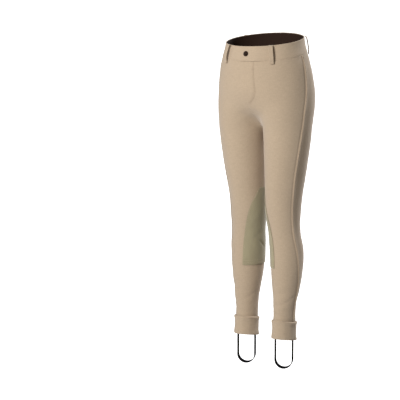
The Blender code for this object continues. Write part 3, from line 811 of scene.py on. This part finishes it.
def shifted(rail, distance, inward):
    """A rail of (levels, angles) moved square to itself; inward is the way its panel's angles go."""
    levels, angles = rail
    aside = angles + inward * 0.8
    here, way = cloth(aside, levels)
    by_angle = (cloth(aside + inward * 0.3, levels)[0] - here) / (inward * 0.3)
    by_level = (cloth(aside, levels - 0.5 * MM)[0] - here) / (-0.5 * MM)
    along = cloth(angles, levels)[0]
    across = unit(np.cross(way, np.gradient(along, axis=0)))
    across *= np.where(np.sum(across * by_angle * inward, axis=-1, keepdims=True) < 0, -1.0, 1.0)
    first, second = (np.sum(across * by, axis=-1) for by in (by_angle, by_level))
    aa, ab, bb = (np.sum(p * q, axis=-1) for p, q in
                  ((by_angle, by_angle), (by_angle, by_level), (by_level, by_level)))
    size = aa * bb - ab * ab
    return (levels + distance * (aa * second - ab * first) / size,
            angles + distance * (bb * first - ab * second) / size)


def rows_between(first, second, columns, side):
    """Cloth on rows from one rail of (levels, angles) to another."""
    ends = [cloth(angles, levels)[0] for levels, angles in (first, second)]
    widths = np.maximum(np.linalg.norm(ends[1] - ends[0], axis=-1), 20 * MM)
    shares = row_shares(columns, widths)
    shares = (shares - shares[:, :1]) / (shares[:, -1:] - shares[:, :1])
    levels, angles = (a[:, None] + (b - a)[:, None] * shares for a, b in zip(first, second))
    return cloth(angles, levels, 0.0, side)


def make_fronts():
    """Front panels: from the centre front, then the inner leg, to the side seam."""
    levels = panel_levels(BAND_BOTTOM, HEM)
    centre_front = centre_angles(levels)[0]
    side_angle = side_at(levels)[..., 0]
    inner = (levels, centre_front + stood_back(levels, centre_front, 1))
    outer = (levels, side_angle - turn_for(EDGE_INSET, levels))
    for name, side in SIDES:
        points, ways = rows_between(inner, outer, int(74 * FINE) + 8, side)
        piece = wall("front_panel_" + name, points, ways, CLOTH, CLOTH_LOOK)
        declare("front_" + name, points)


BACK_ROWS = (
    # step along the seat seam, level at the side seam, level at the centre back
    (0.00, -0.0560, -0.0770),
    (0.13, -0.0940, -0.1090),
    (0.27, -0.1560, -0.1560),
    (0.42, -0.2300, -0.2210),
    (0.52, -0.2900, -0.2860),
    (0.64, -0.3680, -0.3660),
    (0.76, -0.4480, -0.4460),
    (0.86, -0.5180, -0.5160),
    (0.94, -0.5730, -0.5690),
    (1.00, -0.6080, -0.6010),
)
back_rows_at = Curve(BACK_ROWS)


def make_backs():
    """Back panels: their rear edge is the centre back, then the seat seam, then the inner leg."""
    above = BAND_BOTTOM + (SEAT_TOP - BAND_BOTTOM) * fitted(BAND_BOTTOM - SEAT_TOP, ROW_SPACING)[:-3]
    centre_back = centre_angles(above)[1]
    steps = seam_steps(0.002, 0.03, 0.995, 7, 190)
    seam = shifted(seat_seam_points(steps), EDGE_INSET, -1)
    below = SEAT_POINT + (HEM - SEAT_POINT) * fitted(SEAT_POINT - HEM, ROW_SPACING)[5:]
    inner = 270 - stood_back(below, 270, -1)
    rear = (np.concatenate((above, seam[0], below)),
            np.concatenate((centre_back - stood_back(above, centre_back, -1), seam[1], inner)))
    side_above = np.interp(above, (above[-1], above[0]), (-0.053, above[0]))
    side_levels = np.concatenate((side_above, back_rows_at(steps)[..., 0], below))
    side_angle = side_at(side_levels)[..., 0]
    outer = (side_levels, side_angle + turn_for(EDGE_INSET, side_levels))
    for name, side in SIDES:
        points, ways = rows_between(outer, rear, int(56 * FINE) + 8, side)
        piece = wall("back_panel_" + name, points, ways, CLOTH, CLOTH_LOOK)
        declare("back_" + name, points)


def make_seats():
    """Seat insets, from the arched top at the centre back to a point behind the knee."""
    steps = seam_steps(0.0065, 0.04, 0.992, 8, 215)
    seam = shifted(seat_seam_points(steps), EDGE_INSET, 1)
    centre_levels = back_rows_at(steps)[..., 1] - EDGE_INSET
    centre_back = centre_angles(centre_levels)[1]
    centre = (centre_levels, centre_back - stood_back(centre_levels, centre_back, -1))
    for name, side in SIDES:
        points, ways = rows_between(seam, centre, int(34 * FINE) + 8, side)
        piece = wall("seat_inset_" + name, points, ways, CLOTH, SEAT_LOOK)
        declare("seat_" + name, points)


def waist(share, level, lift=0.0):
    """Cloth round the waist: 0 at the centre front, 1 at the centre back, minus on the right."""
    share, level = np.broadcast_arrays(np.asarray(share, float), np.asarray(level, float))
    centre_front, centre_back = centre_angles(level)
    angle = centre_front + (centre_back - centre_front) * np.abs(share)
    point, way = cloth(angle, level, lift)
    flip = np.where(share < 0, -1.0, 1.0)
    point[..., 0] *= flip
    way[..., 0] *= flip
    return point, way


def band_points(way_round, levels, lift):
    share = np.where(way_round > 1, way_round - 2, way_round)
    return waist(share[None, :], levels[:, None], np.broadcast_to(lift, (len(levels), len(way_round))))


def band_lift(way_round):
    """Stand-off of the waistband, whose upper end laps over the other one at the centre front."""
    fade = eased((LAP_FADE - way_round) / (LAP_FADE - LAP))
    return BAND_PROUD + (BAND_THICK + SEAM_GAP * 2) * fade


def make_waistband():
    half = BAND_THICK / 2
    end = half / 0.29
    height = BAND_TOP - BAND_BOTTOM + HAIRLINE / 2
    levels = BAND_TOP - height * fitted(height, 2.6 * MM, half)
    way_round = np.linspace(-LAP + end, 2 + LAP - end, int(300 * FINE))
    lift = band_lift(way_round)[None, :] + 0.25 * MM * np.sin(way_round * 23)[None, :]
    points, ways = band_points(way_round, levels, lift)
    piece = wall("band", points, ways, BAND_THICK, BAND_LOOK, rim_steps=4)
    declare("waistband", points.transpose(1, 0, 2)[::-1])

    half = FACING_THICK * 0.8
    low, high = BAND_BOTTOM + 1.0 * MM + half, BAND_TOP - 1.0 * MM - half
    levels = high + (low - high) * np.linspace(0, 1, int(16 * FINE))
    way_round = np.linspace(0.035, 1.965, int(240 * FINE))
    points, ways = band_points(way_round, levels, BAND_PROUD - BAND_THICK - 0.15 * MM)
    piece = wall("band_facing", points, ways, half * 2, FACING_LOOK)
    declare("waistband_facing", points.transpose(1, 0, 2)[::-1])


def placket_width(share):
    """Width of the placket a share of the way down, where its foot rounds in as a J."""
    return PLACKET_WIDTH * (1 - np.maximum(share - 0.72, 0) ** 2 * 9.5)


def make_placket():
    """J-shaped fly placket on the left front, rounded in to the centre at its foot."""
    straight, turned_in = np.linspace(0, 0.7, int(34 * FINE)), np.linspace(0.72, 0.998, int(22 * FINE))
    shares = np.concatenate((straight, turned_in))
    levels = BAND_BOTTOM - 0.9 * MM + (PLACKET_BOTTOM - BAND_BOTTOM) * shares
    centre_front = centre_angles(levels)[0]
    radius = form_at(levels)[..., 2]
    start = centre_front + np.degrees(0.3 * MM / radius)
    finish = centre_front + np.degrees(placket_width(shares) / radius)
    across = np.linspace(0, 1, int(16 * FINE))[None, :]
    angles = start[:, None] + (finish - start)[:, None] * across
    lift = 0.95 * MM - 0.25 * MM * across ** 3
    points, ways = cloth(angles, levels[:, None], lift)
    piece = wall("placket", points, ways, PLACKET_THICK, CLOTH_LOOK)
    declare("fly_placket", points)


def turned(profile, centre, way, around=48):
    """Rings of a turned profile of (radius, height) round an axis."""
    way = unit(np.asarray(way, float))
    side_way = unit(np.cross((0.0, 0.0, 1.0), way))
    up_way = np.cross(way, side_way)
    turns = np.linspace(0, 2 * math.pi, around, endpoint=False)
    circle = np.cos(turns)[:, None] * side_way + np.sin(turns)[:, None] * up_way
    profile = np.array(profile)
    return centre + circle[None] * profile[:, 0, None, None] + way * profile[:, 1, None, None]


BUTTON_PROFILE = (
    # radius, height
    (0.15 * MM, -1.30 * MM),
    (6.60 * MM, -1.30 * MM),
    (7.55 * MM, -0.90 * MM),
    (8.00 * MM, -0.10 * MM),
    (7.90 * MM, 0.75 * MM),
    (7.30 * MM, 1.25 * MM),
    (6.50 * MM, 1.25 * MM),
    (5.80 * MM, 0.85 * MM),
    (4.80 * MM, 0.55 * MM),
    (2.50 * MM, 0.45 * MM),
    (0.15 * MM, 0.45 * MM),
)


def make_button():
    """Dished button with four holes, sewn on with crossed thread."""
    lift = BAND_PROUD + BAND_THICK + SEAM_GAP * 3 + BUTTON_THICK / 2
    centre, way = waist(0.0, BUTTON_LEVEL, lift)
    rings = turned(BUTTON_PROFILE, centre, way)
    piece = ring_sweep("waist_button", rings, BUTTON_LOOK, closed_round=False)
    turn = Vector(way).to_track_quat("Z", "Y")
    for along in (-1, 1):
        for across in (-1, 1):
            bpy.ops.mesh.primitive_cylinder_add(vertices=16, radius=BUTTON_HOLE_RADIUS, depth=8 * MM)
            cutter = bpy.context.object
            cutter.name = "button_hole_cutter"
            cutter.rotation_mode = "QUATERNION"
            cutter.rotation_quaternion = turn
            aside = turn @ Vector((across, along, 0)) * BUTTON_HOLE_SPREAD
            cutter.location = Vector(centre) + aside
            bpy.context.view_layer.update()
            hole = piece.modifiers.new("hole", "BOOLEAN")
            hole.operation = "DIFFERENCE"
            hole.object = cutter
            bpy.context.view_layer.objects.active = piece
            bpy.ops.object.modifier_apply(modifier="hole")
            bpy.data.objects.remove(cutter, do_unlink=True)
    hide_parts("button")

    threads = []
    for ends in (((-2, -2), (2, 2)), ((-2, 2), (2, -2))):
        places = []
        for share in np.linspace(-0.15, 1.15, 14):
            spot = np.array(ends[0]) + (np.array(ends[1]) - np.array(ends[0])) * share
            height = 0.75 - 2.2 * max(0, abs(share - 0.5) - 0.5) ** 0.8
            offset = turn @ Vector((spot[0], spot[1], height)) * MM
            places.append(centre + np.array(offset))
        threads.append((np.array(places), np.repeat(way[None], len(places), axis=0)))
    stitching("button_thread", threads, BUTTON_THREAD_LOOK, length=6.9 * MM, gap=2.0 * MM, radius=0.38 * MM)


def smooth_path(rows, steps):
    """A path through the rows of a table, eased at its corners."""
    rows = np.array(rows)
    knots = np.linspace(0, 1, len(rows))
    path = Curve([(knot, *row) for knot, row in zip(knots, rows)])
    return path(np.linspace(0, 1, steps))


def make_loops():
    """Belt loops: folded strips that stand off the waistband between two sewn ends."""
    for name, side, share in LOOPS:
        _, out = waist(share * side, (BAND_TOP + BAND_BOTTOM) / 2)
        across = unit(np.cross((0.0, 0.0, 1.0), out))
        path = smooth_path(LOOP_PATH, int(44 * FINE) + 1)
        point, _ = waist(np.full(len(path), share * side), path[:, 0])
        places = point + out * (BAND_PROUD + path[:, 1:2])
        ways = -unit(np.cross(across, np.gradient(places, axis=0)))
        shares = np.linspace(-0.5, 0.5, 13)
        grid = places[:, None] + across * (shares[None, :, None] * (LOOP_WIDTH - LOOP_THICK))
        looks_out = np.repeat(ways[:, None], len(shares), axis=1)
        ridge = -0.12 * MM * np.exp(-((np.abs(shares) - 0.36) / 0.05) ** 2)
        grid = grid + looks_out * ridge[None, :, None]
        piece = wall("belt_" + name, grid, looks_out, LOOP_THICK, CLOTH_LOOK)
        declare(name, grid)


def make_piping():
    """Raised strip down each side seam, from the waistband to the cuff."""
    levels = np.linspace(BAND_BOTTOM - 1.4 * MM, PIPING_BOTTOM, int(320 * FINE))
    for label, side in SIDES:
        point, way = cloth(side_at(levels)[..., 0], levels, PIPING_LIFT, side)
        along = unit(np.cross((0.0, 0.0, 1.0), way))
        shares = np.linspace(-0.5, 0.5, 5)
        width = PIPING_WIDTH - PIPING_THICK
        grid = point[:, None] + along[:, None] * (shares * width)[None, :, None]
        crown = -0.25 * MM * (2 * shares) ** 2
        looks_out = np.repeat(way[:, None], len(shares), axis=1)
        grid = grid + looks_out * crown[None, :, None]
        piece = wall("piping_" + label, grid, looks_out, PIPING_THICK, PIPING_SHADED_LOOK)
        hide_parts("side_piping_" + label)


def patch_rails(levels):
    edges = patch_edges_at(levels)
    return edges[..., 0], edges[..., 1]


def make_knee_patches():
    """Suede patch over the inner half of each knee, rounded to a point at its top."""
    levels = PATCH_TOP + (PATCH_BOTTOM - PATCH_TOP) * np.linspace(0, 1, int(96 * FINE)) ** 1.25
    front_edge, rear_edge = patch_rails(levels)
    across = np.linspace(0, 1, int(64 * FINE))[None, :]
    angles = rear_edge[:, None] + (front_edge - rear_edge)[:, None] * across
    for label, side in SIDES:
        points, ways = cloth(angles, levels[:, None], PATCH_LIFT, side)
        piece = wall("patch_" + label, points, ways, PATCH_THICK, SUEDE_LOOK)
        declare("knee_patch_" + label, points)


CUFF_SECTION = (
    # level, stand-off from the leg
    (-0.8938, 0.9 * MM),
    (-0.8952, 1.9 * MM),
    (-0.8950, 3.2 * MM),
    (-0.8928, 4.2 * MM),
    (-0.8880, 3.6 * MM),
    (-0.8800, 2.8 * MM),
    (-0.8680, 2.5 * MM),
    (-0.8580, 2.7 * MM),
    (-0.8500, 3.1 * MM),
    (-0.8460, 4.0 * MM),
    (-0.8430, 4.8 * MM),
    (-0.8400, 5.0 * MM),
    (-0.8380, 4.2 * MM),
    (-0.8375, 3.0 * MM),
    (-0.8386, 1.8 * MM),
    (-0.8420, 1.0 * MM),
    (-0.8500, 0.8 * MM),
    (-0.8670, 0.7 * MM),
    (-0.8800, 0.7 * MM),
)


def make_cuffs():
    """Turned-up cuffs: closed rings of cloth with a rolled upper edge and slight rumples."""
    section = np.array(CUFF_SECTION)
    angles = np.linspace(0, 360, int(160 * FINE), endpoint=False)
    for label, side in SIDES:
        level, stand_off = section[None, :, 0], section[None, :, 1]
        point, way = cloth(angles[:, None], np.repeat(level, len(angles), axis=0), 0.0, side)
        outward = unit(way * np.array((1, 1, 0)))
        turn = np.radians(angles)[:, None]
        rumple = np.sin(5 * turn + 9 * level / 0.05 + side) + 0.6 * np.sin(11 * turn + 2 * side)
        rumple = rumple * 0.35 * MM
        outer = np.clip((stand_off - 1.2 * MM) / (2 * MM), 0, 1)
        dip = -0.9 * MM * np.exp(-((np.degrees(turn) - 90) / 3.5) ** 2) * outer
        section_points = point + outward * (stand_off + rumple * outer + dip)[..., None]
        section_points[..., 2] += 0.7 * MM * np.sin(3 * turn + side) * (level > -0.86)
        piece = ring_sweep("cuff_" + label + "_turn_up", section_points, CLOTH_LOOK)
        face = section_points[:, 3:13].transpose(1, 0, 2)[::-1]
        face = np.concatenate((face, face[:, :1]), axis=1)
        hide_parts("cuff_" + label)


def make_stirrups():
    """Elastic foot straps: a U of flat elastic under each cuff."""
    radius = STRAP_SPREAD / 2
    span = np.array((math.cos(STRAP_TURN), math.sin(STRAP_TURN), 0))
    across = np.array((-span[1], span[0], 0))
    arc_height = STRAP_BOTTOM + radius
    turns = np.linspace(0, math.pi, int(60 * FINE))
    heights = np.linspace(STRAP_TOP, arc_height, int(20 * FINE))[:-1]
    for label, side in SIDES:
        centre_x, centre_y = form_at(STRAP_TOP)[:2]
        centre = np.array((side * centre_x, centre_y, 0))
        down = centre - span * radius + np.array((0, 0, 1)) * heights[:, None]
        arc_way = -span * np.cos(turns)[:, None] - np.array((0, 0, 1)) * np.sin(turns)[:, None]
        arc = centre + arc_way * radius + np.array((0, 0, arc_height))
        rise = centre + span * radius + np.array((0, 0, 1)) * heights[::-1][:, None]
        path = np.concatenate((down, arc, rise))
        ways = np.concatenate((np.repeat(-span[None], len(down), axis=0), arc_way,
                               np.repeat(span[None], len(rise), axis=0)))
        shares = np.linspace(-0.5, 0.5, int(14 * FINE))
        width = STRAP_WIDTH - STRAP_THICK
        grid = path[:, None] + across * (shares[None, :, None] * width)
        looks_out = np.repeat(ways[:, None], len(shares), axis=1)
        piece = wall("elastic_stirrup_" + label, grid, looks_out, STRAP_THICK, ELASTIC_LOOK)
        declare("stirrup_" + label, grid)


# ---------------------------------------------------------------- sewing

def make_sewing():
    """Rows of stitches beside the seams, round the patches, on the band and fly, and at the loops."""
    for label, side in SIDES:
        levels = np.linspace(BAND_BOTTOM - 3 * MM, -0.833, 700)
        angles = side_at(levels)[..., 0] + turn_for(4.2 * MM, levels)
        lines = [cloth(angles, levels, 0.0, side)]
        steps = np.linspace(0.06, 0.985, 700)
        for inward in (1, -1):
            seam = shifted(seat_seam_points(steps), 2.2 * MM, inward)
            lines.append(cloth(seam[1], seam[0], 0.0, side))
        stitching("panel_stitches_" + label, lines, THREAD_LOOK)

        levels = np.linspace(-0.431, -0.6695, 300)
        front_edge, rear_edge = patch_rails(levels)
        inset = turn_for(2.4 * MM, levels)
        lines = [cloth(front_edge - inset, levels, PATCH_LIFT, side),
                 cloth(rear_edge + inset, levels, PATCH_LIFT, side)]
        for height in (-0.6670, -0.6625, -0.6560):
            ends = patch_rails(np.array(height))
            across = np.linspace(float(ends[1]) + 2, float(ends[0]) - 2, 200)
            lines.append(cloth(across, np.full(200, height), PATCH_LIFT, side))
        stitching("patch_stitches_" + label, lines, THREAD_LOOK)

    way_round = np.linspace(-LAP + 0.012, 2 + LAP - 0.012, 900)
    lines = []
    for level in (BAND_TOP - 4.0 * MM, BAND_BOTTOM + 3.4 * MM):
        points, ways = band_points(way_round, np.array([level]), band_lift(way_round)[None, :])
        lines.append((points[0], ways[0]))
    stitching("band_stitches", lines, THREAD_LOOK)

    shares = np.concatenate((np.linspace(0.02, 0.70, 160), np.linspace(0.705, 0.985, 120)))
    levels = BAND_BOTTOM + (PLACKET_BOTTOM - BAND_BOTTOM) * shares
    centre_front = centre_angles(levels)[0]
    radius = form_at(levels)[..., 2]
    lines = []
    for inset in (2.2 * MM, 4.6 * MM):
        width = np.maximum(placket_width(shares) - inset, 2 * MM)
        angles = centre_front + np.degrees(width / radius)
        lines.append(cloth(angles, levels, 1.0 * MM))
    stitching("fly_stitches", lines, THREAD_LOOK)

    lines = []
    for name, side, share in LOOPS:
        for level in (-0.0295, 0.0205):
            anchor, out = waist(share * side, level)
            across = unit(np.cross((0.0, 0.0, 1.0), out))
            stand_off = 2.8 * MM if level < 0 else 5.2 * MM
            offsets = np.linspace(-4.6, 4.6, 24) * MM
            zigzag = 0.5 * MM * np.where(np.arange(24) % 2, 1, -1)
            line = anchor + out * (BAND_PROUD + stand_off) + across * offsets[:, None]
            line[:, 2] += zigzag
            lines.append((line, np.repeat(out[None], 24, axis=0)))
    stitching("bar_tacks", lines, THREAD_LOOK, length=1.4 * MM, gap=0.1 * MM, radius=0.35 * MM)


# ---------------------------------------------------------------- studio

CAMERA_AZIMUTH = 32


def aim(thing, target):
    way = Vector(target) - thing.location
    thing.rotation_euler = way.to_track_quat("-Z", "Y").to_euler()


def area_light(name, place, target, size, power):
    data = bpy.data.lights.new(name, "AREA")
    data.shape = "RECTANGLE"
    data.size, data.size_y = size
    data.energy = power
    light = bpy.data.objects.new(name, data)
    light.location = place
    aim(light, target)
    bpy.context.scene.collection.objects.link(light)


def round_place(azimuth, distance, height):
    """A place round the garment, 0 degrees in front of the wearer and 90 at the wearer's left."""
    turn = math.radians(azimuth)
    return distance * math.sin(turn), -distance * math.cos(turn), height


def make_studio():
    """Pale floor far below, a lit paper behind the garment, and three soft lights."""
    paper = floor_material("floor_paper", (0.80, 0.80, 0.80), 0.14)
    bpy.ops.mesh.primitive_plane_add(size=60, location=(0, 0, -2.9))
    floor = bpy.context.object
    floor.name = "floor"
    floor.data.materials.append(paper)
    backing = floor_material("backdrop_paper", (0.93, 0.93, 0.93), 1.0)
    bpy.ops.mesh.primitive_plane_add(size=4.4, location=round_place(CAMERA_AZIMUTH + 180, 6.0, -0.9))
    backdrop = bpy.context.object
    backdrop.name = "backdrop"
    backdrop.rotation_euler = (math.radians(90), 0, math.radians(CAMERA_AZIMUTH))
    backdrop.data.materials.append(backing)

    world = bpy.data.worlds.new("studio")
    world.use_nodes = True
    background = world.node_tree.nodes["Background"]
    background.inputs["Color"].default_value = (1.0, 0.96, 0.92, 1)
    background.inputs["Strength"].default_value = 0.12
    bpy.context.scene.world = world

    middle = (0, 0, -0.42)
    area_light("key", round_place(-3, 3.6, 1.15), middle, (1.1, 1.3), 149)
    area_light("fill", round_place(-75, 3.6, 0.3), middle, (1.2, 1.8), 16)
    area_light("rim", round_place(162, 2.8, 1.9), (0, 0, -0.25), (1.4, 1.4), 130)
    bpy.context.scene.view_settings.view_transform = "Standard"


def make_camera():
    """The photo's angle on its front view."""
    data = bpy.data.cameras.new("camera")
    data.lens = 132.8
    data.sensor_width = 36
    camera = bpy.data.objects.new("camera", data)
    camera.location = round_place(CAMERA_AZIMUTH, 4.5, 0.1257)
    aim(camera, (-0.1691, -0.1057, -0.4691))
    bpy.context.scene.collection.objects.link(camera)
    bpy.context.scene.camera = camera


make_fronts()
make_backs()
make_seats()
make_waistband()
make_placket()
make_button()
make_loops()
make_piping()
make_knee_patches()
make_cuffs()
make_stirrups()
make_sewing()
make_studio()
make_camera()
